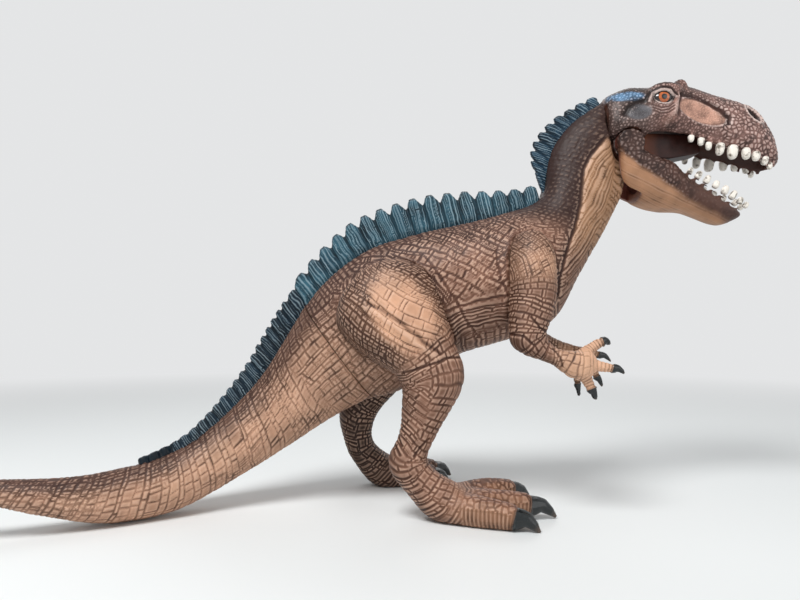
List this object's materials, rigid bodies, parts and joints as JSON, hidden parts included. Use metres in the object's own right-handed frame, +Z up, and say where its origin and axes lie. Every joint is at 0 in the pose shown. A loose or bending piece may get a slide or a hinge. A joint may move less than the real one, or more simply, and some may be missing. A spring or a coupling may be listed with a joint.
{
  "type": "toy dinosaur figure",
  "caption": "Standing two-legged dinosaur figure with a plated crest from head to tail, clawed hands and feet, and a toothed lower jaw that swings on a hinge.",
  "frame": {"origin": "centre of the figure's box at the table, under the hips", "axes": "+X towards the snout, +Y towards the figure's left, +Z up"},
  "size_m": [0.2663, 0.084, 0.1394],
  "materials": {
    "skin": "painted vinyl, tan with dark brown creases",
    "skull_skin": "painted vinyl, dark brown with paler scales",
    "jaw_skin": "painted vinyl, caramel tan",
    "crest": "painted vinyl, dark teal",
    "steel": "plain"
  },
  "bodies": {
    "figure": {"torso": "skin", "skull": "skull_skin", "jaw_hinge_pin": "steel", "tail": "skin", "right_leg": "skin", "left_leg": "skin", "right_arm": "skin", "left_arm": "skin", "crest_back": "crest", "crest_neck": "crest", "crest_tail": "crest"},
    "jaw": {"lower_jaw": "jaw_skin"}
  },
  "joints": [
    {"name": "jaw_hinge", "type": "hinge", "parent": "figure", "child": "jaw", "pos_m": [0.08102, 0.0041, 0.11719], "axis": [0, 1, 0], "range_deg": [-21, 5]}
  ]
}
